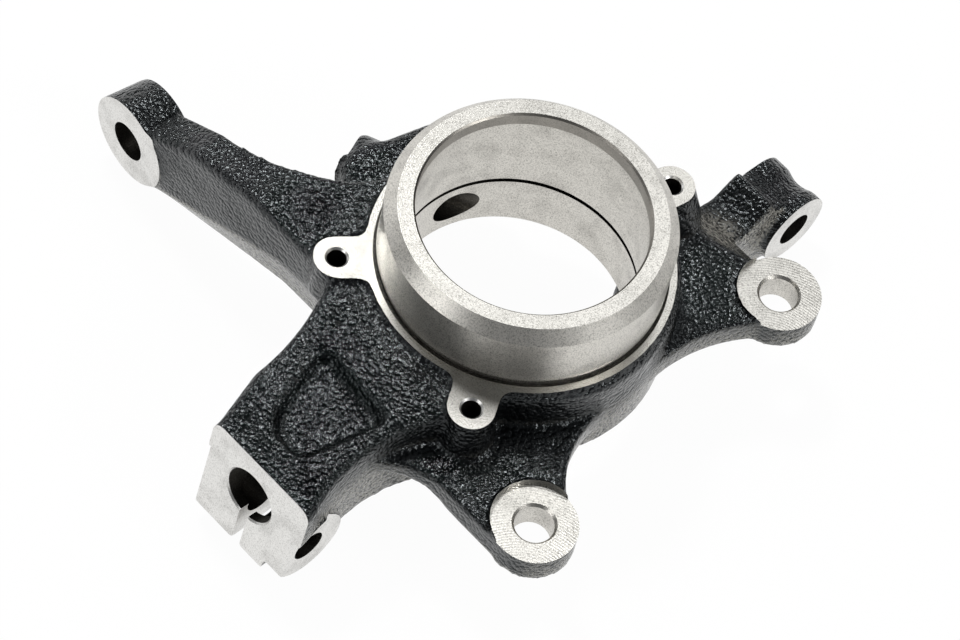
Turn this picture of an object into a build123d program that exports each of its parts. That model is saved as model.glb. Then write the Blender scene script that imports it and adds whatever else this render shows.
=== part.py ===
from build123d import *
import os
from math import cos, sin, radians, sqrt

# Steering knuckle: one iron casting, machined where other parts seat.
# Frame: Z is the wheel-bearing axis and Z = 0 is the splash-shield flange face.
# The ball-joint clamp points to -Y, the strut lug to +Y, the tie-rod arm to -X.

# --- hub: turned ring and bearing bore ------------------------------------
BEARING_R = 42.0          # 84 mm wheel bearing
BEARING_W = 36.0          # seat width between the lip and the circlip groove
MOUTH_R = 39.5            # lip that stops the bearing at the outer end
RING_TOP_Z = 27.8
RING_EDGE_R = 45.5        # where the top face meets the chamfer
RING_R = 49.5
RING_CHAMFER_Z = 23.0
LIP_Z = 22.3              # underside of the lip = bearing stop
GROOVE_W = 1.9
GROOVE_DEPTH = 1.6
RELIEF_W = 1.6            # turned relief at the foot of the ring
RELIEF_DEPTH = 0.7
RELIEF_FACE_R = 50.4       # the same relief runs this far out into the flange face
RELIEF_FACE_DEPTH = 0.35
BARREL_R = 55.0
HUB_BOTTOM_Z = -39.0
CAST_TOP_Z = -1.5         # painted casting stands this far below the flange face

# --- splash-shield flange --------------------------------------------------
FLANGE_R = 52.6
TAB_PCR = 62.5
TAB_ANGLES = (-128.4, -58.8, 80.8)
TAB_END_R = 8.0
TAB_FILLET_R = 5.0
TAB_DEPTH = 17.0
TAB_FOOT_R = (8.6, 9.5, 13.5)
TAB_HOLE_D = 6.8          # tapping size of an M8 thread
TAB_HOLE_DEPTH = 15.0

# --- caliper ears ------------------------------------------------------------
EAR_1 = (71.2, -57.9)
EAR_2 = (58.3, 70.7)
EAR_R = 14.9
EAR_FACE_Z = -17.7
EAR_SPOT_R = 14.6
EAR_HOLE_D = 13.5
EAR_HOLE_CHAMFER = 0.9
WEB_TOP_Z = -16.6
WEB_BOTTOM_Z = -28.6

# --- ball-joint clamp ---------------------------------------------------------
CLAMP_X = 1.5             # centre line of stud bore and slot
CLAMP_TOP_Z = -9.4
CLAMP_BOTTOM_Z = -54.0
CLAMP_END_Y = -118.0      # end face at its top edge
CLAMP_TILT = 6.5          # the end face leans out towards its foot, degrees
STUD_Z = -27.6
STUD_R = 10.3
STUD_DEPTH = 44.0
SLOT_W = 3.8
PINCH_Y = -111.5
PINCH_Z = -40.0
PINCH_R = 6.0
PINCH_BOSS_R = 14.0
PINCH_FACE_X = 23.2
ARM_LEFT_X = -25.3
ARM_RIGHT_X = 21.0
RECESS_DEPTH = 4.2
RECESS_DRAFT = 2.6
RECESS_Z = -5.85          # height of the arm's top at the middle of the pocket
RECESS_LEAN = 7.4         # the arm's top falls away by this angle
RECESS = (
    (-16.6, -76), (-13, -73), (15.4, -75), (17.4, -78.5),
    (10.2, -104.5), (6.2, -108), (-4.4, -107.6), (-10.6, -101),
)

# --- tie-rod arm ---------------------------------------------------------------
ARM_FRONT_Y = -54.9
ARM_BACK_Y = -41.0
EYE_X = -136.5
EYE_Z = -39.2
EYE_R = 17.5
EYE_W = 17.5
EYE_BACK_R = 16.2         # mould draft of the eye boss
EYE_YAW = -4.0
EYE_HOLE_R = 7.6
EYE_SPOT_R = 21.0
EYE_SPOT_DEPTH = 0.8

# --- strut lug -------------------------------------------------------------------
LUG_Y = 110.3
LUG_Z = -43.4
LUG_R = 14.2
LUG_FACE_X = 33.8
LUG_BACK_X = 11.3
LUG_HOLE_R = 6.8
LUG2_Y = 55.5             # second bolt, under the barrel
LUG2_Z = -47.8
LUG_WAIST = 1.5

# --- wheel-speed sensor ------------------------------------------------------------
SENSOR_ANGLE = 165.6      # where its axis meets the bore wall
SENSOR_SKEW = 38.0        # turned from the radius by this much
SENSOR_Z = -26.0
SENSOR_R = 7.0
SENSOR_BOSS_R = 10.8
SENSOR_TOP_Z = -13.5
SENSOR_FOOT_Z = -38.5
SENSOR_PAD = 39.0         # from bore wall to boss face, along the axis


def polar(r, a):
    return (r * cos(radians(a)), r * sin(radians(a)))


def prism_z(points, z0, z1):
    """Plan outline pulled up from z0 to z1."""
    face = make_face(Polyline(*points, close=True))
    return Pos(0, 0, z0) * extrude(face, z1 - z0, dir=(0, 0, 1))


def prism_x(points_yz, x0, x1):
    """Outline in the Y-Z plane pulled from x0 to x1."""
    wire = Polyline(*[(x0, y, z) for y, z in points_yz], close=True)
    return extrude(make_face(wire), x1 - x0, dir=(1, 0, 0))


def prism_y(points_xz, y0, y1):
    """Outline in the X-Z plane pulled from y0 to y1."""
    wire = Polyline(*[(x, y0, z) for x, z in points_xz], close=True)
    return extrude(make_face(wire), y1 - y0, dir=(0, 1, 0))


def rod(r, start, end):
    """Round bar between two points."""
    a = Vector(*start)
    b = Vector(*end)
    plane = Plane(origin=a, z_dir=(b - a).normalized())
    return extrude(plane * Circle(r), (b - a).length)


def turned(profile):
    """Profile of (radius, z) turned about the bearing axis."""
    wire = Polyline(*[(r, 0, z) for r, z in profile], close=True)
    return revolve(make_face(wire), Axis.Z)


# --- casting -----------------------------------------------------------------------

def barrel():
    body = Pos(0, 0, HUB_BOTTOM_Z) * Cylinder(
        BARREL_R, CAST_TOP_Z - HUB_BOTTOM_Z, align=(Align.CENTER, Align.CENTER, Align.MIN)
    )
    body = fillet(body.edges().sort_by(Axis.Z)[-1], 2.2)
    return fillet(body.edges().sort_by(Axis.Z)[0], 2.5)


def clamp_arm():
    """Arm from the barrel down to the ball joint, squared off at its end."""
    outline = (
        Polyline((0, -20), (-42, -40), (-38, -52))
        + ThreePointArc((-38, -52), (-28.5, -73), (ARM_LEFT_X, -96))
        + Polyline((ARM_LEFT_X, -96), (-19.8, -116), (-19.8, -130), (26.8, -130), (26.8, -116))
        + ThreePointArc((26.8, -116), (ARM_RIGHT_X + 0.2, -93), (26.5, -66))
        + Polyline((26.5, -66), (36, -50), (36, -40), (0, -20))
    )
    plan = make_face(outline)
    soft = [v for v in plan.vertices() if -129 < v.Y < -60 and abs(v.Y + 96) > 5]
    plan = fillet(soft, 12.0)
    body = Pos(0, 0, -60) * extrude(plan, 65, dir=(0, 0, 1))
    fall = (CLAMP_TOP_Z - CAST_TOP_Z) / (CLAMP_END_Y + 57)
    side = [
        (-15, CAST_TOP_Z), (-57, CAST_TOP_Z), (-140, CAST_TOP_Z + fall * (57 - 140)),
        (-140, CLAMP_BOTTOM_Z), (-106, CLAMP_BOTTOM_Z), (-94, -43.5),
        (-50, HUB_BOTTOM_Z), (-15, HUB_BOTTOM_Z),
    ]
    body = body & prism_x(side, -60, 60)
    tops = [f for f in body.faces() if f.normal_at().Z > 0.9]
    rims = [e for f in tops for e in f.edges()]
    return fillet([e for e in rims if abs(e.center().X) > 15 and e.center().Y < -21], 4.0)


def clamp_recess():
    """Shallow drafted pocket that lightens the top of the clamp arm."""
    rim = make_face(Polyline(*RECESS, close=True))
    floor = Pos(0, 0, -RECESS_DEPTH) * offset(rim, -RECESS_DRAFT)
    tool = loft([floor, rim]) + extrude(rim, 8, dir=(0, 0, 1))
    lean = -57 - 33
    return Pos(0, lean, RECESS_Z) * Rot(RECESS_LEAN, 0, 0) * Pos(0, -lean, 0) * tool


def tie_rod_arm():
    """Long arm to the steering linkage: straight front wall, back wall sweeping into the barrel."""
    back = Spline(
        (-53.5, -13), (-61, -25), (-78, -36.6), (-98, ARM_BACK_Y),
        tangents=[(-0.35, -1), (-1, -0.08)],
    )
    outline = (
        Polyline((-98, ARM_BACK_Y), (-122, ARM_BACK_Y), (-152, -39.2), (-152, ARM_FRONT_Y),
                 (-20, ARM_FRONT_Y), (-20, -5), (-52, -5), (-53.5, -13))
        + back
    )
    body = Pos(0, 0, -60) * extrude(make_face(outline), 60, dir=(0, 0, 1))
    side = [
        (-20, CAST_TOP_Z), (-72, CAST_TOP_Z), (-88, -4.6), (-104, -9.4), (-127, -22.0),
        (-127, -56.4), (-112, -53.0), (-76, -43.0), (-58, HUB_BOTTOM_Z), (-20, HUB_BOTTOM_Z),
    ]
    body = body & prism_y(side, -70, 10)
    tops = [f for f in body.faces() if f.normal_at().Z > 0.6]
    rims = [e for f in tops for e in f.edges() if e.center().Y < ARM_FRONT_Y + 0.2]
    return fillet([e for e in rims if e.center().X < -30], 3.0)


def undercut(x, z_parting, z_foot):
    """Section of the waste below the parting line of the arm's front wall."""
    pts = [
        (ARM_FRONT_Y - 0.001, z_parting), (ARM_FRONT_Y + 5, z_foot), (ARM_FRONT_Y + 5, z_foot - 12),
        (ARM_FRONT_Y - 8, z_foot - 12), (ARM_FRONT_Y - 8, z_parting),
    ]
    return make_face(Polyline(*[(x, y, z) for y, z in pts], close=True))


def arm_draft():
    """Mould draft under the parting line, wider towards the barrel."""
    outer = loft([undercut(-132, -53.3, -58.5), undercut(-58, -20.6, -39.6)], ruled=True)
    inner = loft([undercut(-58, -20.6, -39.6), undercut(-36, -19.5, -39.2)], ruled=True)
    return outer + inner


def eye_axis():
    """Unit vector from the milled face into the eye."""
    return Vector(sin(radians(-EYE_YAW)), cos(radians(EYE_YAW)), 0)


def eye():
    """Drafted boss whose axis is the tie-rod bolt."""
    face = Vector(EYE_X, ARM_FRONT_Y, EYE_Z)
    plane = Plane(origin=face, z_dir=eye_axis())
    rims = [plane * Circle(EYE_R), plane.offset(EYE_W) * Circle(EYE_BACK_R)]
    body = loft(rims)
    back = body.faces().sort_by(Axis(tuple(face), tuple(eye_axis())))[-1]
    return fillet(back.edges(), 1.5)


def webs():
    """Flat plates from the barrel to the two caliper ears."""
    x1, y1 = EAR_1
    x2, y2 = EAR_2
    first = make_face(
        Polyline((30, -8), (10, -40), (12, -89), (19.5, -89))
        + ThreePointArc((19.5, -89), (29.0, -77.0), (46, y1 - EAR_R))
        + Line((46, y1 - EAR_R), (x1, y1 - EAR_R))
        + ThreePointArc((x1, y1 - EAR_R), (x1 + EAR_R, y1), (x1, y1 + EAR_R))
        + ThreePointArc((x1, y1 + EAR_R), (61.5, -33.0), (55.0, -8.0))
        + Line((55.0, -8.0), (30, -8))
    )
    second = make_face(
        Polyline((53.6, 12), (10, 12), (4, 50), (16, 68.5), (26, 67.2), (x2 - EAR_R, y2 + 2))
        + ThreePointArc((x2 - EAR_R, y2 + 2), (x2 + EAR_R * 0.7071, y2 + EAR_R * 0.7071), (63.0, 56.6))
        + ThreePointArc((63.0, 56.6), (54.6, 38.0), (53.6, 12.0))
    )
    plates = []
    for outline, x, y in ((first, x1, y1), (second, x2, y2)):
        hidden = 50.0
        kinks = [v for v in outline.vertices() if sqrt(v.X ** 2 + v.Y ** 2) > hidden]
        kinks = [v for v in kinks if not (v.X > 20 and v.Y < y1)]
        outline = fillet(kinks, 3.0)
        plate = Pos(0, 0, WEB_BOTTOM_Z) * extrude(outline, WEB_TOP_Z - WEB_BOTTOM_Z, dir=(0, 0, 1))
        low = plate.faces().sort_by(Axis.Z)[0]
        plates.append(fillet(low.edges(), 2.5))
    relief = loft([relief_section(12, WEB_TOP_Z - 5, 9.0), relief_section(62, WEB_BOTTOM_Z, 0.4)])
    return plates[0] - relief + plates[1]


def relief_section(x, z_edge, reach):
    """Section of the waste under the edge of the lower web, which thins away from its ear."""
    y = EAR_1[1] - EAR_R
    pts = [(y - 0.1, z_edge), (y + reach, WEB_BOTTOM_Z - 0.5), (y - 14, WEB_BOTTOM_Z - 0.5), (y - 14, z_edge)]
    return make_face(Polyline(*[(x, a, b) for a, b in pts], close=True))


def strut_neck():
    """Neck and lug plate; the second bolt boss hangs under the barrel."""
    side = [
        (40, WEB_TOP_Z), (66.5, WEB_TOP_Z), (80.0, -28.0), (88, -29.0),
        (98.6, -22.4), (101.2, -27.6), (104.5, -28.2), (112, -30), (119, -34), (122, -43),
        (119, -53), (108, -56.5), (80, -58.0), (LUG2_Y, LUG2_Z - 12.5), (LUG2_Y - 12, LUG2_Z),
        (42, -38),
    ]
    plate = prism_x(side, LUG_BACK_X, LUG_FACE_X - 3.5)
    valley = [e for e in plate.edges().filter_by(Axis.X) if 60 < e.center().Y < 90 and e.center().Z > -30]
    plate = fillet(valley, 4.0)
    side_face = plate.faces().sort_by(Axis.X)[-1]
    crest = [e for e in side_face.edges() if 63 < e.center().Y < 100 and e.center().Z > -30]
    plate = fillet(crest, 3.0)
    slope = [(50, WEB_TOP_Z), (66.5, WEB_TOP_Z), (80, -28), (80, WEB_BOTTOM_Z), (50, WEB_BOTTOM_Z)]
    ramp = prism_x(slope, 12, 41)
    return plate + ramp


def lug_bosses():
    """Round bosses the strut bracket grips; the upper one has a cast waist between its faces."""
    mid = (LUG_BACK_X + LUG_FACE_X) / 2
    half = (LUG_FACE_X - LUG_BACK_X) / 2
    profile = Polyline(
        (LUG_BACK_X, 0, 0), (LUG_BACK_X, 0, LUG_R), (mid - 5, 0, LUG_R),
    ) + Spline((mid - 5, 0, LUG_R), (mid + 1, 0, LUG_R - LUG_WAIST), (mid + 7, 0, LUG_R)) + Polyline(
        (mid + 7, 0, LUG_R), (LUG_FACE_X, 0, LUG_R), (LUG_FACE_X, 0, 0), (LUG_BACK_X, 0, 0)
    )
    upper = Pos(0, LUG_Y, LUG_Z) * revolve(make_face(profile), Axis.X)
    lower = rod(LUG_R - 0.7, (LUG_BACK_X, LUG2_Y, LUG2_Z), (LUG_FACE_X, LUG2_Y, LUG2_Z))
    return upper + lower


def sensor_axis():
    """Point on the bore wall and unit vector outwards along the sensor."""
    x, y = polar(BEARING_R, SENSOR_ANGLE)
    a = SENSOR_ANGLE + SENSOR_SKEW
    return Vector(x, y, SENSOR_Z), Vector(cos(radians(a)), sin(radians(a)), 0)


def sensor_boss():
    """Swelling behind the ring that carries the skew sensor hole, with a pad square to it."""
    foot, along = sensor_axis()
    outline = make_face(
        Polyline((-52, -20), (-66, -20), (-72.5, -15.5))
        + ThreePointArc((-72.5, -15.5), (-75.6, -6), (-71.5, 4.5))
        + ThreePointArc((-71.5, 4.5), (-69.0, 15), (-66.2, 25.5))
        + ThreePointArc((-66.2, 25.5), (-59.0, 36), (-46, 43))
        + Polyline((-46, 43), (-30, 40), (-52, -20))
    )
    outline = fillet([v for v in outline.vertices() if v.X < -60], 5.0)
    body = Pos(0, 0, SENSOR_FOOT_Z) * extrude(outline, SENSOR_TOP_Z - SENSOR_FOOT_Z, dir=(0, 0, 1))
    body = fillet(body.faces().sort_by(Axis.Z)[-1].edges(), 4.0)
    body = fillet(body.faces().sort_by(Axis.Z)[0].edges(), 4.0)
    pad = rod(SENSOR_BOSS_R, foot, foot + along * SENSOR_PAD)
    rim = pad.faces().sort_by(Axis(tuple(foot), tuple(along)))[-1]
    return body + fillet(rim.edges(), 1.5)


def tab_casting():
    """Cast bosses that carry the splash-shield tabs, spreading towards their feet."""
    out = None
    for a, foot_r in zip(TAB_ANGLES, TAB_FOOT_R):
        x, y = polar(TAB_PCR, a)
        boss = Pos(x, y, -TAB_DEPTH) * Cone(
            foot_r, TAB_END_R, TAB_DEPTH, align=(Align.CENTER, Align.CENTER, Align.MIN)
        )
        web = Rot(0, 0, a) * Pos(TAB_PCR - 10, 0, -TAB_DEPTH / 2) * Box(20, 2 * TAB_END_R, TAB_DEPTH)
        piece = boss + web
        out = piece if out is None else out + piece
    return out


def flange():
    """Flange disc with three tabs, concave where they leave the disc."""
    sk = Circle(FLANGE_R)
    for a in TAB_ANGLES:
        x, y = polar(TAB_PCR, a)
        sk += Pos(x, y) * Circle(TAB_END_R)
        sk += Rot(0, 0, a) * Pos(TAB_PCR / 2, 0) * Rectangle(TAB_PCR, 2 * TAB_END_R)
    inner = [v for v in sk.vertices() if sqrt(v.X ** 2 + v.Y ** 2) < FLANGE_R + 0.6]
    sk = fillet(inner, TAB_FILLET_R)
    return Pos(0, 0, CAST_TOP_Z - 2) * extrude(sk, -(CAST_TOP_Z - 2))


def ring():
    return turned([
        (20, -10), (RING_R - RELIEF_DEPTH, -10), (RING_R - RELIEF_DEPTH, RELIEF_W), (RING_R, RELIEF_W + 0.7),
        (RING_R, RING_CHAMFER_Z), (RING_EDGE_R, RING_TOP_Z), (20, RING_TOP_Z),
    ])


# --- machining -----------------------------------------------------------------------

def relief_tool():
    """Undercut in the corner of ring and flange face, so a shield seats right into it."""
    foot = RING_R - RELIEF_DEPTH
    return turned([
        (foot, -RELIEF_FACE_DEPTH), (RELIEF_FACE_R - 0.2, -RELIEF_FACE_DEPTH), (RELIEF_FACE_R, 0),
        (RELIEF_FACE_R, RELIEF_W), (foot, RELIEF_W),
    ])


def bore_tool():
    groove_top = LIP_Z - BEARING_W
    groove_low = groove_top - GROOVE_W
    return turned([
        (0, RING_TOP_Z + 5), (MOUTH_R + 5.7, RING_TOP_Z + 5), (MOUTH_R, RING_TOP_Z - 0.7),
        (MOUTH_R, LIP_Z), (BEARING_R, LIP_Z), (BEARING_R, groove_top),
        (BEARING_R + GROOVE_DEPTH, groove_top), (BEARING_R + GROOVE_DEPTH, groove_low),
        (BEARING_R, groove_low), (BEARING_R, HUB_BOTTOM_Z + 2.0),
        (BEARING_R + 1.2, HUB_BOTTOM_Z), (BEARING_R + 1.2, HUB_BOTTOM_Z - 30), (0, HUB_BOTTOM_Z - 30),
    ])


def tab_holes():
    out = None
    for a in TAB_ANGLES:
        x, y = polar(TAB_PCR, a)
        hole = Pos(x, y, -TAB_HOLE_DEPTH) * Cylinder(
            TAB_HOLE_D / 2, TAB_HOLE_DEPTH + 5, align=(Align.CENTER, Align.CENTER, Align.MIN)
        )
        sink = Pos(x, y, -0.7) * Cone(
            TAB_HOLE_D / 2, TAB_HOLE_D / 2 + 1.7, 1.7, align=(Align.CENTER, Align.CENTER, Align.MIN)
        )
        tip = Pos(x, y, -TAB_HOLE_DEPTH - 1.9) * Cone(
            0.01, TAB_HOLE_D / 2, 1.9, align=(Align.CENTER, Align.CENTER, Align.MIN)
        )
        tool = hole + sink + tip
        out = tool if out is None else out + tool
    return out


def ear_tools():
    out = None
    for x, y in (EAR_1, EAR_2):
        spot = Pos(x, y, EAR_FACE_Z) * Cylinder(
            EAR_SPOT_R, 3, align=(Align.CENTER, Align.CENTER, Align.MIN)
        )
        hole = Pos(x, y, -40) * Cylinder(EAR_HOLE_D / 2, 40, align=(Align.CENTER, Align.CENTER, Align.MIN))
        sink = Pos(x, y, EAR_FACE_Z - EAR_HOLE_CHAMFER) * Cone(
            EAR_HOLE_D / 2, EAR_HOLE_D / 2 + 1.5, 1.5, align=(Align.CENTER, Align.CENTER, Align.MIN)
        )
        tool = spot + hole + sink
        out = tool if out is None else out + tool
    return out


def clamp_end_plane():
    """Plane of the milled end face, looking outwards."""
    t = radians(CLAMP_TILT)
    return Plane(origin=(CLAMP_X, CLAMP_END_Y, CLAMP_TOP_Z), x_dir=(1, 0, 0), z_dir=(0, -cos(t), sin(t)))


def clamp_tools():
    plane = clamp_end_plane()
    end = extrude(plane * Rectangle(140, 160), 30)
    drop = (CLAMP_TOP_Z - STUD_Z) / cos(radians(CLAMP_TILT))
    stud_plane = Plane(
        origin=plane.origin - plane.y_dir * drop, x_dir=plane.x_dir, z_dir=plane.z_dir
    )
    stud = extrude(stud_plane * Circle(STUD_R), -STUD_DEPTH)
    stud += extrude(stud_plane * Circle(STUD_R), 10)
    mouth = stud_plane * Pos(0, 0, -0.6) * Cone(
        STUD_R, STUD_R + 1.6, 1.6, align=(Align.CENTER, Align.CENTER, Align.MIN)
    )
    slot = Pos(CLAMP_X, CLAMP_END_Y - 10, -68) * Box(
        SLOT_W, STUD_DEPTH + 12, 80 + (STUD_Z + 28), align=(Align.CENTER, Align.MIN, Align.CENTER)
    )
    slot = slot & Pos(0, -110, STUD_Z - 40) * Box(60, 120, 80)
    bolt = rod(PINCH_R, (-60, PINCH_Y, PINCH_Z), (60, PINCH_Y, PINCH_Z))
    spot = rod(PINCH_BOSS_R + 1.0, (PINCH_FACE_X, PINCH_Y, PINCH_Z), (60, PINCH_Y, PINCH_Z))
    far = rod(PINCH_BOSS_R + 5.0, (-18.7, PINCH_Y, PINCH_Z), (-60, PINCH_Y, PINCH_Z))
    return end + stud + mouth + slot + bolt + spot + far


def pinch_round():
    """Milling that rounds the clamp's lower corner to the pinch-bolt boss."""
    block = Pos(14.5, -98, PINCH_Z) * Box(60, 60, 50, align=(Align.MIN, Align.MAX, Align.MAX))
    return block - rod(PINCH_BOSS_R, (0, PINCH_Y, PINCH_Z), (90, PINCH_Y, PINCH_Z))


def eye_tools():
    face = Vector(EYE_X, ARM_FRONT_Y, EYE_Z)
    d = eye_axis()
    start = face + d * EYE_SPOT_DEPTH
    spot = rod(EYE_SPOT_R, start, face - d * 12)
    hole = rod(EYE_HOLE_R, face - d * 20, face + d * 40)
    back = rod(EYE_SPOT_R - 2, face + d * (EYE_W - 0.4), face + d * 40)
    return spot + hole + back


def lug_tools():
    out = None
    for y, z in ((LUG_Y, LUG_Z), (LUG2_Y, LUG2_Z)):
        tool = rod(LUG_HOLE_R, (-40, y, z), (60, y, z))
        out = tool if out is None else out + tool
    return out


def sensor_tool():
    foot, along = sensor_axis()
    spot = rod(SENSOR_BOSS_R + 1.5, foot + along * SENSOR_PAD, foot + along * (SENSOR_PAD + 8))
    return rod(SENSOR_R, foot - along * 16, foot + along * (SENSOR_PAD + 10)) + spot


def knuckle():
    body = barrel()
    body += clamp_arm() - clamp_recess()
    body += tie_rod_arm() - arm_draft()
    body += eye()
    body += webs()
    body += strut_neck()
    body += lug_bosses()
    body += sensor_boss()
    body += tab_casting()
    body += rod(PINCH_BOSS_R, (CLAMP_X, PINCH_Y, PINCH_Z), (PINCH_FACE_X + 2, PINCH_Y, PINCH_Z))
    body += flange()
    body += ring()
    body -= bore_tool()
    body -= relief_tool()
    body -= tab_holes()
    body -= ear_tools()
    body -= clamp_tools()
    body -= pinch_round()
    body -= eye_tools()
    body -= lug_tools()
    body -= sensor_tool()
    return body


part = knuckle()
os.makedirs("parts", exist_ok=True)
export_step(part, "parts/steering_knuckle.step")
print(type(part), "solids", len(part.solids()), "volume", part.volume, part.bounding_box())
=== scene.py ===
# %% [markdown]
# # A cast steering knuckle, machined after painting
# The knuckle is one iron casting. It is painted black all over, and then the places
# where other parts bolt on are cut back to bright metal. This file works in the same
# order as the foundry and the machine shop: a casting first, then the cuts.

# %% Load the model
import math
import bpy
import numpy as np
from mathutils import Euler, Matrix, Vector


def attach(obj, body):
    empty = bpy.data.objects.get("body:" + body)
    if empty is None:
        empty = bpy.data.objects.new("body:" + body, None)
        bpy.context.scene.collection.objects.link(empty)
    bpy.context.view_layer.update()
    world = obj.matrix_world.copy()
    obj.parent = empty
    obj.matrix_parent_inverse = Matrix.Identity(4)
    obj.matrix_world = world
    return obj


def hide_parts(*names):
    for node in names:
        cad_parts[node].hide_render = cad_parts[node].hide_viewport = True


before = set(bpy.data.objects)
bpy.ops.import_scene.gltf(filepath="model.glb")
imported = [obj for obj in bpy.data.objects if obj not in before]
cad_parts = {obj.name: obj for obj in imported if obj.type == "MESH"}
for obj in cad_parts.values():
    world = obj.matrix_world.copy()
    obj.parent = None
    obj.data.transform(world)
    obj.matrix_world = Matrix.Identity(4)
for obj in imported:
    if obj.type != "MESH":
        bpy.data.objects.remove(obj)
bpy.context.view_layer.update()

MM = 0.001

# %% [markdown]
# ## The camera
# A long lens from well above flattens the part only a little, as product pictures do.
# A 150 mm lens on a 36 mm sensor sees about fourteen degrees.

# %% Camera
CAMERA_PLACE = (0.43045, -0.62689, 1.10403)
CAMERA_TURN = (32.7463, -7.7848, 47.0213)

lens = bpy.data.cameras.new("long_lens")
lens.lens = 150
lens.sensor_width = 36
lens.clip_start = 0.05
lens.clip_end = 20
camera = bpy.data.objects.new("camera", lens)
camera.location = CAMERA_PLACE
camera.rotation_euler = Euler([math.radians(a) for a in CAMERA_TURN], "XYZ")
bpy.context.scene.collection.objects.link(camera)
bpy.context.scene.camera = camera
print("camera is", round(camera.location.length, 3), "m from the bearing centre")

# %% [markdown]
# ## Meshes from profiles
# Every cut that a machine makes is a simple solid: a lathe sweeps a profile round an
# axis, and a drill or an end mill sweeps a circle along one. So one function that
# carries a profile round an axis makes nearly every cutter.

# %% Profile carried round an axis
BAR_STEPS = 96


def put_in_mesh(name, points, faces, material=None):
    """A new object in the scene from points in metres and faces as rows of indices."""
    mesh = bpy.data.meshes.new(name)
    mesh.from_pydata(np.asarray(points).tolist(), [], faces)
    mesh.update()
    if material:
        mesh.materials.append(material)
    piece = bpy.data.objects.new(name, mesh)
    bpy.context.scene.collection.objects.link(piece)
    return piece


def turned(name, profile, start=(0, 0, 0), along=(0, 0, 1), steps=192, material=None):
    """Solid of revolution. The profile is a row of (radius, height) pairs in mm that starts
    and ends on the axis. A point at angle t is start + radius*(cos t * u + sin t * v)
    + height * along, where u and v are square to the axis."""
    r, h = np.array(profile, float).T
    w = np.array(along, float) / np.linalg.norm(along)
    u = np.cross(w, (0, 0, 1) if abs(w[2]) < 0.9 else (1, 0, 0))    # from the axis w is far from
    u /= np.linalg.norm(u)
    v = np.cross(w, u)
    t = np.linspace(0, 2 * np.pi, steps, endpoint=False)
    ring = np.cos(t)[:, None] * u + np.sin(t)[:, None] * v
    inner = r[1:-1, None, None] * ring + h[1:-1, None, None] * w
    points = np.vstack([h[0] * w, inner.reshape(-1, 3), h[-1] * w]) + np.array(start, float)
    rows = len(r) - 2
    k = 1 + np.arange(rows)[:, None] * steps + np.arange(steps)
    nxt = np.roll(k, -1, axis=1)
    quads = np.stack([k[:-1], nxt[:-1], nxt[1:], k[1:]], -1).reshape(-1, 4).tolist()
    last = len(points) - 1
    first_cap = np.stack([np.zeros(steps, int), nxt[0], k[0]], -1).tolist()
    last_cap = np.stack([np.full(steps, last), k[-1], nxt[-1]], -1).tolist()
    return put_in_mesh(name, points * MM, quads + first_cap + last_cap, material)


def drilled(name, radius, line, near, far, material=None):
    """Round bar between two distances on a line, which is a point and a direction."""
    start, run = line[0] + line[1] * near, line[1] * (far - near)
    long = float(np.linalg.norm(run))
    return turned(name, [(0, 0), (radius, 0), (radius, long), (0, long)], start, run, BAR_STEPS, material)


def block(name, low, high, material=None):
    """Box between two corners, in mm."""
    grid = np.array([(x, y, z) for x in (0, 1) for y in (0, 1) for z in (0, 1)])
    points = np.where(grid, high, low).astype(float)
    faces = [(0, 1, 3, 2), (4, 6, 7, 5), (0, 4, 5, 1), (2, 3, 7, 6), (0, 2, 6, 4), (1, 5, 7, 3)]
    return put_in_mesh(name, points * MM, faces, material)


test_line = (np.zeros(3), np.array((0, 0, 1)))
test_bar = drilled("test_bar", 5, test_line, 0, 9)
print("a test bar has", len(test_bar.data.polygons), "faces")
bpy.data.objects.remove(test_bar)

# %% [markdown]
# ## The rough casting
# A casting leaves the mould with rounded edges and filled corners, and with a few
# millimetres of extra metal wherever it will be machined. The model has the machined
# shape, so a copy of it first gets that extra metal back. The copy's points are merged
# where they are less than a micrometre apart, so that its triangles share their edges.

# %% Merged copy of the model
MERGE = 1e-3 * MM

model = bpy.data.objects["steering_knuckle"]
raw = np.empty(len(model.data.vertices) * 3)
model.data.vertices.foreach_get("co", raw)
model.data.calc_loop_triangles()
corner = np.empty(len(model.data.loop_triangles) * 3, int)
model.data.loop_triangles.foreach_get("vertices", corner)
keys, index = np.unique(np.round(raw.reshape(-1, 3) / MERGE).astype(int), axis=0, return_inverse=True)
spots = keys * MERGE
tris = index.ravel()[corner.reshape(-1, 3)]
tris = tris[(tris[:, 0] != tris[:, 1]) & (tris[:, 1] != tris[:, 2]) & (tris[:, 2] != tris[:, 0])]
print("merged copy:", len(spots), "points,", len(tris), "triangles")

# %% [markdown]
# ## Extra metal on a flat face
# A foundry leaves about three millimetres on a face that will be milled. It could be
# extruded by hand here, but a flat face can also be found by its normal and its plane,
# and lifted in one step. The slab then has the outline of the face, whatever that is.


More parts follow.
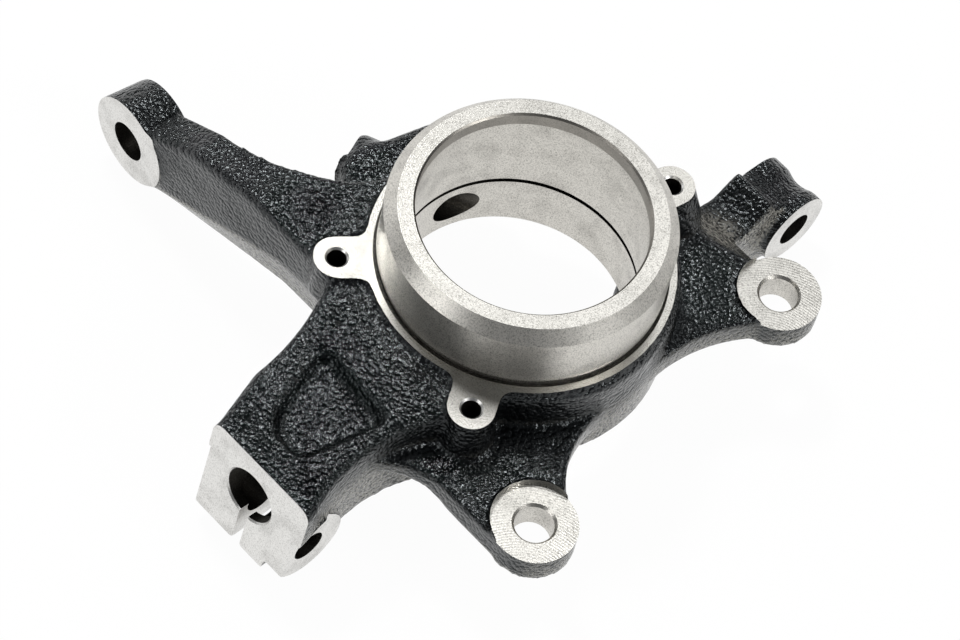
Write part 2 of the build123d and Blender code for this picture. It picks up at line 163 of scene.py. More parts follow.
# %% Slab of extra metal on a cut face
def slab_on(name, point, normal, reach=1e3, up=3.0, down=1.0):
    """The model's flat triangles in one plane, thickened: each point is shifted by up along
    the normal for the top and by down against it for the bottom, and open edges get walls."""
    n = np.array(normal, float) / np.linalg.norm(normal)
    p = np.array(point, float) * MM
    a, b, c = (spots[tris[:, i]] for i in range(3))
    facing = np.cross(b - a, c - a)
    facing /= np.maximum(np.linalg.norm(facing, axis=1), 1e-20)[:, None]
    centre = (a + b + c) / 3
    near = np.linalg.norm(centre - p, axis=1) < reach * MM
    same_way = facing @ n > 0.9995
    in_plane = np.abs((centre - p) @ n) < 0.02 * MM
    used, local = np.unique(tris[same_way & in_plane & near], return_inverse=True)
    local = local.reshape(-1, 3)
    k = len(used)
    points = np.vstack([spots[used] + n * up * MM, spots[used] - n * down * MM])
    edges = np.vstack([local[:, [0, 1]], local[:, [1, 2]], local[:, [2, 0]]])
    code = edges[:, 0] * k + edges[:, 1]
    rim = edges[~np.isin(code, edges[:, 1] * k + edges[:, 0])]
    walls = np.stack([rim[:, 1], rim[:, 0], rim[:, 0] + k, rim[:, 1] + k], -1)
    faces = local.tolist() + (local[:, ::-1] + k).tolist() + walls.tolist()
    return put_in_mesh(name, points, faces)


print("slab on the top of the ring:", len(slab_on("test_slab", (0, 0, 27.8), (0, 0, 1)).data.polygons), "faces")
bpy.data.objects.remove(bpy.data.objects["test_slab"])

# %% [markdown]
# ## Where the cuts are
# All places are in millimetres from the bearing centre, as on a workshop drawing. A
# drilled hole is a line, a point and a direction, and each face square to it is a
# distance on that line. The extra metal and the cutters use the same lines, so they
# can't drift apart.

# %% Places of the cuts, in millimetres
X_WAY, Z_WAY = np.array((1, 0, 0)), np.array((0, 0, 1))
TAB_CIRCLE, TAB_ANGLES = 62.5, (-128.4, -58.8, 80.8)
TABS = [(TAB_CIRCLE * math.cos(math.radians(a)), TAB_CIRCLE * math.sin(math.radians(a)))
        for a in TAB_ANGLES]
EARS = [(71.2, -57.9), (58.3, 70.7)]

# the clamp of the ball stud: its end face leans, and the stud enters square to it
CLAMP_X = 1.5
lean = math.radians(6.5)
clamp_out = np.array((0, -math.cos(lean), math.sin(lean)))
clamp_down = np.array((0, -math.sin(lean), -math.cos(lean)))
clamp_edge = np.array((CLAMP_X, -118.0, -9.4))
stud = (clamp_edge + clamp_down * (18.2 / math.cos(lean)), clamp_out)
pinch = (np.array((0, -111.5, -40)), X_WAY)
PINCH_FACE, PINCH_NUT = 23.2, -18.7

# the eye of the tie rod
yaw = math.radians(4)
eye = (np.array((-136.5, -54.9, -39.2)), np.array((math.sin(yaw), math.cos(yaw), 0)))
EYE_FRONT, EYE_BACK = 0.8, 17.1

# the two bolts of the strut
lug = (np.array((0, 110.3, -43.4)), X_WAY)
lug_low = (np.array((0, 55.5, -47.8)), X_WAY)
LUG_FACE, LUG_BACK = 33.8, 11.3

# the wheel-speed sensor: its hole starts on the bearing seat, and runs out obliquely
BORE_R = 42
sensor_at, sensor_way = math.radians(165.6), math.radians(203.6)
sensor = (np.array((BORE_R * math.cos(sensor_at), BORE_R * math.sin(sensor_at), -26)),
          np.array((math.cos(sensor_way), math.sin(sensor_way), 0)))
SENSOR_PAD = 39
print("ball stud enters at", np.round(stud[0], 1))

# %% [markdown]
# ## Extra metal
# Slabs go on the milled faces and plugs fill the holes. Each is a little larger than
# what the cutter takes, so that every cut meets solid metal and leaves a full face.


# %% Extra metal
def at(line, distance):
    """Point at a distance on a line."""
    return line[0] + line[1] * distance


stock = [
    turned("stock_ring", [(0, -39), (44.2, -39), (44.2, -2), (52.2, -1), (52.2, 31), (0, 31)]),
    slab_on("stock_flange", (0, 0, 0), Z_WAY),
    slab_on("stock_clamp", clamp_edge, clamp_out, up=4),
    slab_on("stock_pinch", at(pinch, PINCH_FACE), X_WAY, reach=30),
    slab_on("stock_eye", at(eye, EYE_FRONT), -eye[1]),
    slab_on("stock_eye_back", at(eye, EYE_BACK), eye[1]),
    slab_on("stock_sensor", at(sensor, SENSOR_PAD), sensor[1], reach=16),
    slab_on("stock_lug", at(lug, LUG_FACE), X_WAY, reach=30),
    slab_on("stock_lug_low", at(lug_low, LUG_FACE), X_WAY, reach=30),
    drilled("stock_lug_back", 14.1, lug, 8.5, 14),
    drilled("plug_stud", 11.4, stud, 4, -46),
    block("plug_slot", (-0.3, -122, -53.6), (3.3, -70, -27)),
    drilled("plug_pinch", 7, pinch, -24, PINCH_FACE + 3),
    drilled("plug_eye", 8.6, eye, -2.2, EYE_BACK + 0.3),
    drilled("plug_lug", 7.8, lug, LUG_BACK - 3, LUG_FACE + 3),
    drilled("plug_lug_low", 7.8, lug_low, LUG_BACK, LUG_FACE + 3),
    drilled("plug_sensor", 8, sensor, -4, SENSOR_PAD - 0.6),
]
for i, (x, y) in enumerate(TABS):
    stock.append(drilled(f"plug_tab_{i}", 4.6, (np.array((x, y, 0)), Z_WAY), -16, 3))
for i, (x, y) in enumerate(EARS):
    stock.append(drilled(f"stock_ear_{i}", 14.9, (np.array((x, y, 0)), Z_WAY), -28.6, -12))
print(len(stock), "solids of extra metal,", sum(len(s.data.polygons) for s in stock), "faces")

# %% [markdown]
# ## One rounded skin
# Sand can't hold a sharp corner, so every edge of a casting is rounded. A bevel needs
# clean edges to run along, and this pile of solids has none. A voxel remesh makes one
# closed skin of it all, and a few rounds of smoothing give each edge its radius.

# %% One skin, rounded
SKIN_STEP = 1.1 * MM


def run_modifiers(piece):
    """Replaces the piece's mesh with the one its modifiers make, and drops the modifiers."""
    graph = bpy.context.evaluated_depsgraph_get()
    made = bpy.data.meshes.new_from_object(piece.evaluated_get(graph))
    old, piece.data = piece.data, made
    piece.modifiers.clear()
    bpy.data.meshes.remove(old)


casting = put_in_mesh("casting", spots, tris.tolist())
bpy.ops.object.select_all(action="DESELECT")
for part in [casting] + stock:
    part.select_set(True)
bpy.context.view_layer.objects.active = casting
bpy.ops.object.join()
remesh = casting.modifiers.new("skin", "REMESH")
remesh.mode = "VOXEL"
remesh.voxel_size = SKIN_STEP
smooth = casting.modifiers.new("sand_radius", "SMOOTH")
smooth.factor = 0.5
smooth.iterations = 4
run_modifiers(casting)
print("casting:", len(casting.data.vertices), "points,", len(casting.data.polygons), "faces")

# %% [markdown]
# ## Finishes
# Two finishes make the whole look. The casting wears a thin black paint over a skin
# that copied the sand, so it shines a little and unevenly. The machined places are
# bare grey iron: bright, and marked by the tool in the direction it travelled. Colours
# are written as hex codes, which are sRGB, and the shader wants linear values.

# %% Colours and nodes
def colour(hex_code):
    """A hex sRGB colour as the linear values that the shader takes."""
    s = [int(hex_code[i:i + 2], 16) / 255 for i in (1, 3, 5)]
    return [c / 12.92 if c <= 0.04045 else ((c + 0.055) / 1.055) ** 2.4 for c in s] + [1.0]


def add_node(tree, kind, settings=None, values=None, links=None):
    """Adds a node, sets its properties and socket values, and links sockets into it."""
    node = tree.nodes.new(kind)
    for key, value in (settings or {}).items():
        setattr(node, key, value)
    for key, value in (values or {}).items():
        node.inputs[key].default_value = value
    for key, source in (links or {}).items():
        tree.links.new(source, node.inputs[key])
    return node


def new_material(name):
    """An empty material, its node tree and its Object coordinates."""
    material = bpy.data.materials.new(name)
    material.use_nodes = True
    tree = material.node_tree
    tree.nodes.clear()
    return material, tree, add_node(tree, "ShaderNodeTexCoord").outputs["Object"]


def put_on_surface(tree, shader):
    add_node(tree, "ShaderNodeOutputMaterial", links={"Surface": shader})


print("black paint in linear values:", [round(c, 4) for c in colour("#08090A")])

# %% [markdown]
# ## The relief of the painted skin
# The grain of the sand shows through the paint as bumps about 1.5 mm apart. Under it
# the skin swells slowly, and the top of the casting falls away from the ring and towards
# the end of the clamp. Real bumps this small would take millions of faces, so they
# are bump in the material. Three of them stand on one another, from coarse to fine.

# %% Relief of sand-cast iron
SAND = 1.0 * MM
GRAIN, GRAIN_HIGH = 1.5 * MM, 0.36 * MM
SWELL, SWELL_HIGH = 30 * MM, 4.0 * MM
TOP_FROM, TOP_TO, TOP_FALL = 57 * MM, 84 * MM, 2.2
NOSE_FROM, NOSE_TO, NOSE_FALL = -122 * MM, -102 * MM, 3.0


def fall_height(tree, place, spot):
    """Height in mm: TOP_FALL at the ring and 0 outside it, plus 0 at the clamp's end and
    NOSE_FALL where the clamp's arm begins."""
    across = add_node(tree, "ShaderNodeVectorMath", {"operation": "MULTIPLY"}, {1: (1, 1, 0)},
                      {0: place})
    reach = add_node(tree, "ShaderNodeVectorMath", {"operation": "LENGTH"}, {},
                     {0: across.outputs[0]})
    fall = add_node(tree, "ShaderNodeMapRange", {"interpolation_type": "SMOOTHSTEP"},
                    {"From Min": TOP_FROM, "From Max": TOP_TO, "To Min": TOP_FALL, "To Max": 0.0},
                    {"Value": reach.outputs["Value"]})
    nose = add_node(tree, "ShaderNodeMapRange", {"interpolation_type": "SMOOTHSTEP"},
                    {"From Min": NOSE_FROM, "From Max": NOSE_TO, "To Min": 0.0, "To Max": NOSE_FALL},
                    {"Value": spot.outputs["Y"]})
    return add_node(tree, "ShaderNodeMath", {"operation": "ADD"}, {},
                    {0: fall.outputs["Result"], 1: nose.outputs["Result"]})


def sand_relief(tree, place, spot, sand):
    """Normal of the skin. The grain's height is sand - 1.6 * distance squared, where distance
    is to the middle of the nearest grain, so each grain is a dome."""
    lumps = add_node(tree, "ShaderNodeTexVoronoi", {"feature": "SMOOTH_F1"},
                     {"Scale": 1 / GRAIN, "Smoothness": 0.30, "Randomness": 1.0}, {"Vector": place})
    dome = add_node(tree, "ShaderNodeMath", {"operation": "MULTIPLY"}, {},
                    {0: lumps.outputs["Distance"], 1: lumps.outputs["Distance"]})
    height = add_node(tree, "ShaderNodeMath", {"operation": "MULTIPLY_ADD"},
                      {1: -1.6}, {0: dome.outputs[0], 2: sand.outputs["Fac"]})
    swell = add_node(tree, "ShaderNodeTexNoise", {}, {"Scale": 1 / SWELL, "Detail": 1.0},
                     {"Vector": place})
    away = add_node(tree, "ShaderNodeBump", {}, {"Strength": 1.0, "Distance": 1.0 * MM},
                    {"Height": fall_height(tree, place, spot).outputs[0]})
    rolling = add_node(tree, "ShaderNodeBump", {}, {"Strength": 1.0, "Distance": SWELL_HIGH},
                       {"Height": swell.outputs["Fac"], "Normal": away.outputs["Normal"]})
    return add_node(tree, "ShaderNodeBump", {}, {"Strength": 1.0, "Distance": GRAIN_HIGH},
                    {"Height": height.outputs[0], "Normal": rolling.outputs["Normal"]})


print("grains are", round(GRAIN / MM, 2), "mm wide and", round(GRAIN_HIGH / MM, 2), "mm high")

# %% [markdown]
# ## Painted light on the walls
# The lower walls of the casting that face down, towards the floor, or face +x, towards
# the lamp on the right, are lit, and that light is painted into the paint's colour as a
# lighter grey. A patch on the neck between the barrel and the strut lug gets a painted
# highlight in the same way. A mask finds them from the slope and the height of the
# surface. The finest sand breaks it up, so that its edge is ragged.

# %% Painted light on the walls
# the neck's painted highlight, and the heights over which the painted light on the walls grows
NECK, NECK_FROM, NECK_TO = (24 * MM, 76 * MM, -24 * MM), 14 * MM, 4 * MM
PAINTED_LIGHT_FROM, PAINTED_LIGHT_TO = -12 * MM, -30 * MM


def painted_light_mask(tree, place, spot, sand):
    """How much painted light there is, 0 to 1: the larger of wall * low * max(flank, under)
    and neck, times the patches of the sand."""
    facing = add_node(tree, "ShaderNodeNewGeometry")
    slope = add_node(tree, "ShaderNodeSeparateXYZ", links={0: facing.outputs["True Normal"]})
    flank = add_node(tree, "ShaderNodeMapRange", {"interpolation_type": "SMOOTHSTEP"},
                     {"From Min": 0.35, "From Max": 0.85}, {"Value": slope.outputs["X"]})
    under = add_node(tree, "ShaderNodeMapRange", {"interpolation_type": "SMOOTHSTEP"},
                     {"From Min": 0.0, "From Max": -0.10}, {"Value": slope.outputs["Z"]})
    side = add_node(tree, "ShaderNodeMath", {"operation": "MAXIMUM"}, {},
                    {0: flank.outputs["Result"], 1: under.outputs["Result"]})
    upright = add_node(tree, "ShaderNodeMath", {"operation": "ABSOLUTE"}, {}, {0: slope.outputs["Z"]})
    wall = add_node(tree, "ShaderNodeMapRange", {"interpolation_type": "SMOOTHSTEP"},
                    {"From Min": 0.80, "From Max": 0.48, "To Max": 0.95}, {"Value": upright.outputs[0]})
    low = add_node(tree, "ShaderNodeMapRange", {"interpolation_type": "SMOOTHSTEP"},
                   {"From Min": PAINTED_LIGHT_FROM, "From Max": PAINTED_LIGHT_TO}, {"Value": spot.outputs["Z"]})
    low_wall = add_node(tree, "ShaderNodeMath", {"operation": "MULTIPLY"}, {},
                    {0: wall.outputs["Result"], 1: low.outputs["Result"]})
    lit_flanks = add_node(tree, "ShaderNodeMath", {"operation": "MULTIPLY"}, {},
                    {0: low_wall.outputs[0], 1: side.outputs[0]})
    from_neck = add_node(tree, "ShaderNodeVectorMath", {"operation": "DISTANCE"}, {1: NECK}, {0: place})
    neck = add_node(tree, "ShaderNodeMapRange", {"interpolation_type": "SMOOTHSTEP"},
                    {"From Min": NECK_FROM, "From Max": NECK_TO, "To Max": 0.65},
                    {"Value": from_neck.outputs["Value"]})
    lit_anywhere = add_node(tree, "ShaderNodeMath", {"operation": "MAXIMUM"}, {},
                        {0: lit_flanks.outputs[0], 1: neck.outputs["Result"]})
    patchy = add_node(tree, "ShaderNodeMapRange", {}, {"From Min": 0.40, "From Max": 0.54},
                      {"Value": sand.outputs["Fac"]})
    return add_node(tree, "ShaderNodeMath", {"operation": "MULTIPLY"}, {},
                    {0: lit_anywhere.outputs[0], 1: patchy.outputs["Result"]})


# the painted light in the paint's colour grows between these heights
print("paint lightens from", round(PAINTED_LIGHT_FROM / MM), "to", round(PAINTED_LIGHT_TO / MM), "mm")

# %% [markdown]
# ## The black paint
# Chassis paint is half glossy. Its base is nearly black, so what the eye sees is the
# mirror light on the grains: each one carries a small light of its own. A low roughness
# keeps these lights small, and a faintly cool tint sets them off from the warm iron.

# %% Black paint on sand-cast iron
def painted_casting():
    """The relief gives the small lights, and the mask mixes painted light into the black."""
    material, tree, place = new_material("black_chassis_paint_on_sand_cast_iron")
    spot = add_node(tree, "ShaderNodeSeparateXYZ", links={0: place})
    sand = add_node(tree, "ShaderNodeTexNoise", {"noise_dimensions": "3D"},
                    {"Scale": 1 / SAND, "Detail": 2.0, "Roughness": 0.6}, {"Vector": place})
    relief = sand_relief(tree, place, spot, sand)
    painted_light = painted_light_mask(tree, place, spot, sand)
    # the grey is painted light: floor and right-lamp light on the low walls, a highlight on the neck
    paint_with_painted_light = add_node(tree, "ShaderNodeMix", {"data_type": "RGBA"},
                    {"A": colour("#08090A"), "B": colour("#9A978F")}, {"Factor": painted_light.outputs[0]})
    paint = add_node(tree, "ShaderNodeBsdfPrincipled", {},
                     {"IOR": 1.5, "Roughness": 0.13, "Specular Tint": (0.91, 0.98, 1.0, 1)},
                     {"Base Color": paint_with_painted_light.outputs["Result"], "Normal": relief.outputs["Normal"]})
    put_on_surface(tree, paint.outputs["BSDF"])
    return material


paint = painted_casting()
print("paint has", len(paint.node_tree.nodes), "nodes")

# %% [markdown]
# ## Machined grey iron
# Bare cast iron fresh from the tool. Its graphite shows as dark specks of about half a
# millimetre. The tool leaves rings round a centre: fine ones round the spindle on turned
# faces, and wide arcs on milled ones. Real feeds of 0.2 mm are too fine to show here, so
# the marks are drawn 0.7 to 1.1 mm apart. One function makes all these finishes, since
# they differ only in their tint, their gloss and the centre of their rings.

# %% Machined grey iron
GRAPHITE, CLOUD = 0.5 * MM, 9 * MM


def machined_iron(name, tint, roughness, centre=(0, 0, 0), turn=(0, 0, 0), pitch=0.9, depth=0.012,
                  specks=0.8, streaks=0.0):
    """Rings pitch mm apart and depth mm high round a centre in mm. The share of the dark tint is
    specks * graphite + clouds + streaks * rings. The wave texture has a ring every 2 pi / 20
    of its own unit, so its scale is 2 pi / (20 * pitch)."""
    material, tree, place = new_material(name)
    local = add_node(tree, "ShaderNodeMapping", {"vector_type": "TEXTURE"},
                     {"Location": [c * MM for c in centre],
                      "Rotation": [math.radians(a) for a in turn]}, {"Vector": place})
    marks = add_node(tree, "ShaderNodeTexWave", {"wave_type": "RINGS", "rings_direction": "Z"},
                     {"Scale": 2 * math.pi / (20 * pitch * MM), "Distortion": 0.6, "Detail": 2.0,
                      "Detail Scale": 0.6}, {"Vector": local.outputs["Vector"]})
    graphite = add_node(tree, "ShaderNodeTexNoise", {},
                        {"Scale": 1 / GRAPHITE, "Detail": 3.0, "Roughness": 0.7}, {"Vector": place})
    cloud = add_node(tree, "ShaderNodeTexNoise", {}, {"Scale": 1 / CLOUD, "Detail": 3.0},
                     {"Vector": place})
    dark = add_node(tree, "ShaderNodeMapRange", {},
                    {"From Min": 0.46, "From Max": 0.72, "To Max": specks},
                    {"Value": graphite.outputs["Fac"]})
    patches = add_node(tree, "ShaderNodeMapRange", {},
                       {"From Min": 0.45, "From Max": 0.70, "To Max": 0.22},
                       {"Value": cloud.outputs["Fac"]})
    both = add_node(tree, "ShaderNodeMath", {"operation": "ADD"}, {},
                    {0: dark.outputs["Result"], 1: patches.outputs["Result"]})
    lines = add_node(tree, "ShaderNodeMath", {"operation": "MULTIPLY_ADD"}, {1: streaks},
                     {0: marks.outputs["Fac"], 2: both.outputs[0]})
    shade = add_node(tree, "ShaderNodeMix", {"data_type": "RGBA"},
                     {"A": colour(tint), "B": colour("#6F6D68")}, {"Factor": lines.outputs[0]})
    gloss = add_node(tree, "ShaderNodeMapRange", {},
                     {"To Min": roughness - 0.04, "To Max": roughness + 0.05},
                     {"Value": cloud.outputs["Fac"]})
    rings = add_node(tree, "ShaderNodeBump", {}, {"Strength": 1.0, "Distance": depth * MM},
                     {"Height": marks.outputs["Fac"]})
    pits = add_node(tree, "ShaderNodeBump", {}, {"Strength": 0.6, "Distance": 0.03 * MM},
                    {"Height": graphite.outputs["Fac"], "Normal": rings.outputs["Normal"]})
    iron = add_node(tree, "ShaderNodeBsdfPrincipled", {}, {"Metallic": 1.0},
                    {"Base Color": shade.outputs["Result"], "Roughness": gloss.outputs["Result"],
                     "Normal": pits.outputs["Normal"]})
    put_on_surface(tree, iron.outputs["BSDF"])
    return material


print("graphite specks are", round(GRAPHITE / MM, 1), "mm wide")

# %% Finishes of the cuts
# the ring's top: the smoothest face, a clear sheen
turned_iron = machined_iron("turned_cast_iron", "#D6D4CE", 0.24, pitch=0.7, depth=0.006)
# the bearing seat and the bolt holes of the ears: the same iron, but a softer light
bored_iron = machined_iron("bored_cast_iron", "#DAD7D0", 0.36, pitch=0.8, depth=0.006)
# the ears: a mill whose centre is beside the face leaves wide arcs that catch the light
MILL_BESIDE = (16, -22)
ear_iron = [
    machined_iron(f"spot_faced_cast_iron_{i + 1}", "#DAD8D2", 0.30,
                  (x + MILL_BESIDE[0], y + MILL_BESIDE[1], 0), pitch=1.0, depth=0.03, streaks=0.14)
    for i, (x, y) in enumerate(EARS)
]
# the milled faces of the clamp, the eye and the lug: light and even, with few specks
flat_iron = machined_iron("milled_cast_iron", "#EDECE9", 0.36, (60, -150, 30), turn=(90, 0, 0),
                          pitch=1.1, depth=0.010, specks=0.5, streaks=0.06)
# the wall and the chamfer of the ring: duller than its top
wall_iron = machined_iron("turned_ring_wall", "#E2DFD8", 0.42, pitch=0.7, depth=0.006)
# the lip inside the ring: painted shade makes it a darker band
lip_shaded_iron = machined_iron("turned_lip_with_painted_shade", "#9A968F", 0.36, pitch=0.8, depth=0.006)
# the circlip groove and the ring's foot: painted shade, so they read as thin dark lines
groove_shaded_iron = machined_iron("groove_with_painted_shade", "#22211E", 0.55, pitch=0.8)
# the inside of drilled holes: painted shade, so that a hole reads as deep
hole_shaded_iron = machined_iron("hole_with_painted_shade", "#4B4843", 0.45, pitch=0.8)
print("finishes:", [m.name for m in bpy.data.materials])

# %% [markdown]
# ## Machining
# Each cutter is the solid that the tool sweeps through, and it carries the finish that
# the tool leaves; the cutters of the holes, the groove and the lip carry painted shade.
# Each profile leaves the axis at its lower end and comes back at its upper end, so that
# all faces of the cutter look outward.

# %% Cutters, in millimetres
RING_STEPS = 256

casting.data.materials.append(paint)
ring_cut = [(0, 27.8), (45.5, 27.8), (49.5, 23), (49.5, 2.3), (48.8, 1.6), (48.8, -0.35),
            (50.2, -0.35), (50.4, 0), (80, 0), (80, 40), (0, 40)]
seat_cut = [(0, -69), (43.2, -69), (43.2, -39), (BORE_R, -37), (BORE_R, 22.3), (0, 22.3)]
lip_cut = [(0, 20), (39.5, 20), (39.5, 27.1), (45.2, 32.8), (0, 32.8)]
groove_cut = [(0, -15.6), (43.6, -15.6), (43.6, -13.7), (0, -13.7)]
cuts = [
    turned("cut_outside", ring_cut, material=turned_iron, steps=RING_STEPS),
    turned("cut_seat", seat_cut, material=bored_iron, steps=RING_STEPS),
    turned("cut_lip", lip_cut, material=lip_shaded_iron, steps=RING_STEPS),
    turned("cut_groove", groove_cut, material=groove_shaded_iron, steps=RING_STEPS),
]
tab_cut = [(0, -15), (3.4, -15), (3.4, -0.7), (4.1, 0), (4.1, 5), (0, 5)]
for i, (x, y) in enumerate(TABS):
    cuts.append(turned(f"cut_tab_{i}", tab_cut, (x, y, 0), steps=64, material=hole_shaded_iron))
ear_cut = [(0, -17.7), (15.1, -17.7), (15.1, -6), (0, -6)]
ear_hole_cut = [(0, -60), (6.75, -60), (6.75, -18.6), (7.65, -17.7), (7.65, -10), (0, -10)]
for i, (x, y) in enumerate(EARS):
    cuts.append(turned(f"cut_ear_{i}", ear_cut, (x, y, 0), material=ear_iron[i]))
    cuts.append(turned(f"cut_ear_hole_{i}", ear_hole_cut, (x, y, 0), steps=96, material=bored_iron))
end_cut = [(0, 0), (70, 0), (70, 40), (0, 40)]
stud_cut = [(0, -44), (10.3, -44), (10.3, -0.6), (10.9, 0), (10.9, 10), (0, 10)]
slot_low, slot_high = (CLAMP_X - 1.9, -130, -80), (CLAMP_X + 1.9, -72, -27.6)
cuts += [
    turned("cut_clamp_end", end_cut, clamp_edge, clamp_out, material=flat_iron),
    turned("cut_stud", stud_cut, *stud, steps=128, material=hole_shaded_iron),
    block("cut_slot", slot_low, slot_high, material=flat_iron),
    drilled("cut_pinch", 6, pinch, -60, 60, hole_shaded_iron),
    drilled("cut_pinch_face", 15, pinch, PINCH_FACE, 45, flat_iron),
    drilled("cut_pinch_nut", 19, pinch, PINCH_NUT, -60, flat_iron),
    drilled("cut_eye_face", 21, eye, EYE_FRONT, -20, flat_iron),
    drilled("cut_eye_back", 19, eye, EYE_BACK, 40, flat_iron),
    drilled("cut_eye_hole", 7.6, eye, -20, 40, hole_shaded_iron),
    drilled("cut_lug_face", 17, lug, LUG_FACE, 50, flat_iron),
    drilled("cut_lug_back", 17, lug, LUG_BACK, -10, flat_iron),
    drilled("cut_lug_low_face", 17, lug_low, LUG_FACE, 50, flat_iron),
    drilled("cut_lug_hole", 6.8, lug, -30, 60, hole_shaded_iron),
    drilled("cut_lug_low_hole", 6.8, lug_low, -6, 60, hole_shaded_iron),
    drilled("cut_sensor_pad", 12.3, sensor, SENSOR_PAD, 47, flat_iron),
    drilled("cut_sensor", 7, sensor, -16, 60, hole_shaded_iron),
]
print(len(cuts), "cutters")

# %% [markdown]
# ## Cutting
# A Boolean difference takes each cutter from the casting, and the new faces keep the
# cutter's finish. The exact solver could do it too, but the manifold solver is many
# times faster, and all solids here are closed, as it needs.

# %% Cutting
for tool in cuts:
    cut = casting.modifiers.new(tool.name, "BOOLEAN")
    cut.operation = "DIFFERENCE"
    cut.solver = "MANIFOLD"
    cut.object = tool
    cut.material_mode = "TRANSFER"
run_modifiers(casting)
for tool in cuts:
    bpy.data.objects.remove(tool)
print("machined:", len(casting.data.polygons), "faces,", [m.name for m in casting.data.materials])

# %% [markdown]
# ## Walls and chamfers
# A wall comes out rougher than a top that was faced, so the wall and the chamfer of the
# ring look duller. The chamfer at the mouth of a hole is a fresh cut too, and shines like
# the face round it, while the hole itself keeps its painted shade. The relief at the foot
# of the ring gets the groove's painted shade. One cutter can leave more than one finish,
# so the faces are picked by their slope and height.


# %% Finish by slope
def refinish(mesh, old, new, test):
    """Faces that have the old finish get the new one where test(normal, centre) is true."""
    count = len(mesh.polygons)
    normal, centre, index = np.empty(count * 3), np.empty(count * 3), np.empty(count, int)
    mesh.polygons.foreach_get("normal", normal)
    mesh.polygons.foreach_get("center", centre)
    mesh.polygons.foreach_get("material_index", index)
    if new.name not in mesh.materials:
        mesh.materials.append(new)
    names = [m.name for m in mesh.materials]
    passes = test(normal.reshape(-1, 3), centre.reshape(-1, 3) / MM)
    pick = (index == names.index(old.name)) & passes
    index[pick] = names.index(new.name)
    mesh.polygons.foreach_set("material_index", index)
    return int(pick.sum())


def in_ring_foot(normal, centre):
    return centre[:, 2] < -0.02


def on_ring_side(normal, centre):
    return normal[:, 2] < 0.95


def in_tab_mouth(normal, centre):
    return (normal[:, 2] > 0.4) & (centre[:, 2] > -0.9)


def in_stud_mouth(normal, centre):
    return (normal @ clamp_out > 0.4) & ((centre - clamp_edge) @ clamp_out > -0.7)


mesh = casting.data
# the relief at the ring's foot gets the groove's painted shade
print("ring foot:", refinish(mesh, turned_iron, groove_shaded_iron, in_ring_foot))
print("ring wall:", refinish(mesh, turned_iron, wall_iron, on_ring_side))
print("tab mouths:", refinish(mesh, hole_shaded_iron, flat_iron, in_tab_mouth))
print("stud mouth:", refinish(mesh, hole_shaded_iron, flat_iron, in_stud_mouth))

# %% [markdown]
# ## Crisp edges where the tool cut
# All faces are shaded smooth, and an edge is marked sharp where two finishes meet or
# where two machined faces meet at more than 30 degrees. The sand-cast skin has none.
# Shading by angle alone would also crease the skin where it bends tightly.


# %% Sharp edges
def mark_cut_edges(mesh, angle=30):
    """Sharp where the two faces of an edge differ in finish, or are both machined and
    their normals' cosine is under the angle's."""
    count = len(mesh.polygons)
    finish = np.empty(count, int)
    mesh.polygons.foreach_get("material_index", finish)
    normal = np.empty(count * 3)
    mesh.polygons.foreach_get("normal", normal)
    normal = normal.reshape(-1, 3)
    loops = np.empty(count, int)
    mesh.polygons.foreach_get("loop_total", loops)
    edge = np.empty(len(mesh.loops), int)
    mesh.loops.foreach_get("edge_index", edge)
    face = np.repeat(np.arange(count), loops)
    order = np.argsort(edge, kind="stable")
    pair_edge, pair_face = edge[order], face[order]
    twin = np.flatnonzero(pair_edge[1:] == pair_edge[:-1])
    f, g, e = pair_face[twin], pair_face[twin + 1], pair_edge[twin]
    cosine = np.einsum("ij,ij->i", normal[f], normal[g])
    both_cut = (finish[f] > 0) & (finish[g] > 0)
    sharp = np.zeros(len(mesh.edges), bool)
    sharp[e] = (finish[f] != finish[g]) | (both_cut & (cosine < math.cos(math.radians(angle))))
    flags = mesh.attributes.get("sharp_edge") or mesh.attributes.new("sharp_edge", "BOOLEAN", "EDGE")
    flags.data.foreach_set("value", sharp)
    mesh.polygons.foreach_set("use_smooth", np.ones(count, bool))
    mesh.update()
    return int(sharp.sum())


print("sharp edges:", mark_cut_edges(casting.data))
casting.name = "knuckle_casting"
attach(casting, "root")
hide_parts("steering_knuckle")

# %% [markdown]
# ## Floor
# The part rests on a plain white floor. Lamps alone would have to be so strong to turn
# it white that the part would burn out. So camera rays and mirror rays see 97 parts of
# an even glow and 3 parts of lit paper, which keep a trace of the shadow.

# %% Floor
FLOOR_HALF, FLOOR_Z = 3, -0.0613


def white_floor():
    """Lit paper, with an even glow over it for camera and glossy rays."""
    material, tree, _ = new_material("white_paper_sweep")
    paper = add_node(tree, "ShaderNodeBsdfDiffuse", {}, {"Color": colour("#F4F4F3")})
    glow = add_node(tree, "ShaderNodeEmission", {}, {"Color": (1, 1, 1, 1), "Strength": 1.0})
    ray = add_node(tree, "ShaderNodeLightPath")
    direct = add_node(tree, "ShaderNodeMath", {"operation": "MAXIMUM"}, {},
                      {0: ray.outputs["Is Camera Ray"], 1: ray.outputs["Is Glossy Ray"]})
    seen = add_node(tree, "ShaderNodeMath", {"operation": "MULTIPLY"}, {1: 0.97}, {0: direct.outputs[0]})
    both = add_node(tree, "ShaderNodeMixShader", {}, {},
                    {0: seen.outputs[0], 1: paper.outputs[0], 2: glow.outputs[0]})
    put_on_surface(tree, both.outputs[0])
    return material


corners = np.array([(-1, -1, 0), (1, -1, 0), (1, 1, 0), (-1, 1, 0)]) * FLOOR_HALF
floor = put_in_mesh("paper_floor", corners + (0, 0, FLOOR_Z), [(0, 1, 2, 3)], white_floor())
print("floor at", FLOOR_Z, "m")

# %% [markdown]
# ## Room
# The camera sees the room as white. The part gets only a dim and slightly cool share of
# it, since a bright room all round would turn the black paint grey.

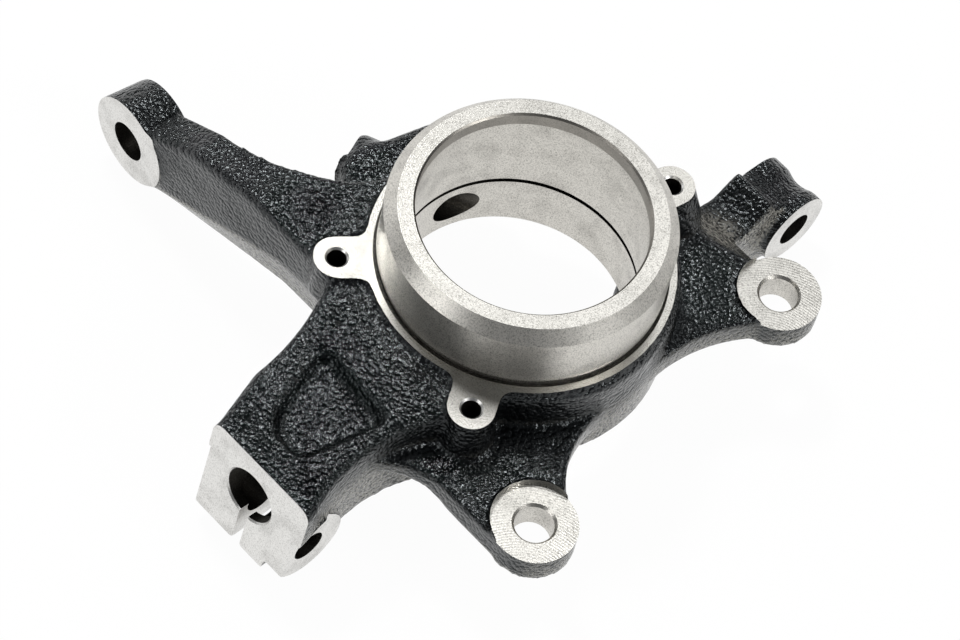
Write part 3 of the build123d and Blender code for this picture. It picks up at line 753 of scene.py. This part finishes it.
# %% Room
bpy.context.scene.view_settings.view_transform = "Standard"
world = bpy.data.worlds.new("white_room")
bpy.context.scene.world = world
world.use_nodes = True
room = world.node_tree
room.nodes.clear()
ray = add_node(room, "ShaderNodeLightPath")
dim = add_node(room, "ShaderNodeBackground", {}, {"Color": (0.93, 0.96, 1.0, 1), "Strength": 0.10})
white = add_node(room, "ShaderNodeBackground", {}, {"Color": (1, 1, 1, 1), "Strength": 1.0})
mix = add_node(room, "ShaderNodeMixShader", {}, {},
               {0: ray.outputs["Is Camera Ray"], 1: dim.outputs[0], 2: white.outputs[0]})
add_node(room, "ShaderNodeOutputWorld", links={"Surface": mix.outputs[0]})
print("room light on the part:", dim.inputs["Strength"].default_value)

# %% [markdown]
# ## Lamps
# Black paint and bright metal want different light. The wide tents stand where the flat
# metal faces mirror them to the camera, so they light the metal evenly. The small spark
# lamps on the left and at the back stand 18 to 26 degrees beside that direction. The
# flat metal misses them, but a grain of the paint that tilts by 9 to 13 degrees mirrors
# one of them, so single grains light up. The spark on the right stands lower, for the
# walls that look that way, and the card and the softbox light the upright metal faces.

# %% Lamps
LAMPS = [    # name, place in metres, size in metres, watts
    ("overhead_tent", (-0.45, 0.65, 1.35), 0.8, 1.6),
    ("back_tent", (-0.25, 0.85, 1.25), 0.5, 0.55),
    ("left_spark", (-0.667, 0.163, 1.333), 0.24, 14.0),
    ("left_back_spark", (-0.91, 0.56, 1.09), 0.24, 2.5),
    ("back_spark", (0.05, 1.05, 1.05), 0.24, 1.5),
    ("right_spark", (1.0, 0.2, 0.8), 0.3, 6.0),
    ("left_card", (-1.3, -0.25, 0.40), 0.8, 2.2),
    ("front_softbox", (-0.3, -1.2, 0.5), 0.5, 3.0),
]
AIMS = {"front_softbox": (0, 0, -0.02)}    # all others aim at the bearing centre

for name, place, size, watts in LAMPS:
    data = bpy.data.lights.new(name, "AREA")
    data.size = size
    data.energy = watts
    lamp = bpy.data.objects.new(name, data)
    lamp.location = place
    way = Vector(AIMS.get(name, (0, 0, 0))) - Vector(place)
    lamp.rotation_euler = way.to_track_quat("-Z", "Y").to_euler()
    bpy.context.scene.collection.objects.link(lamp)
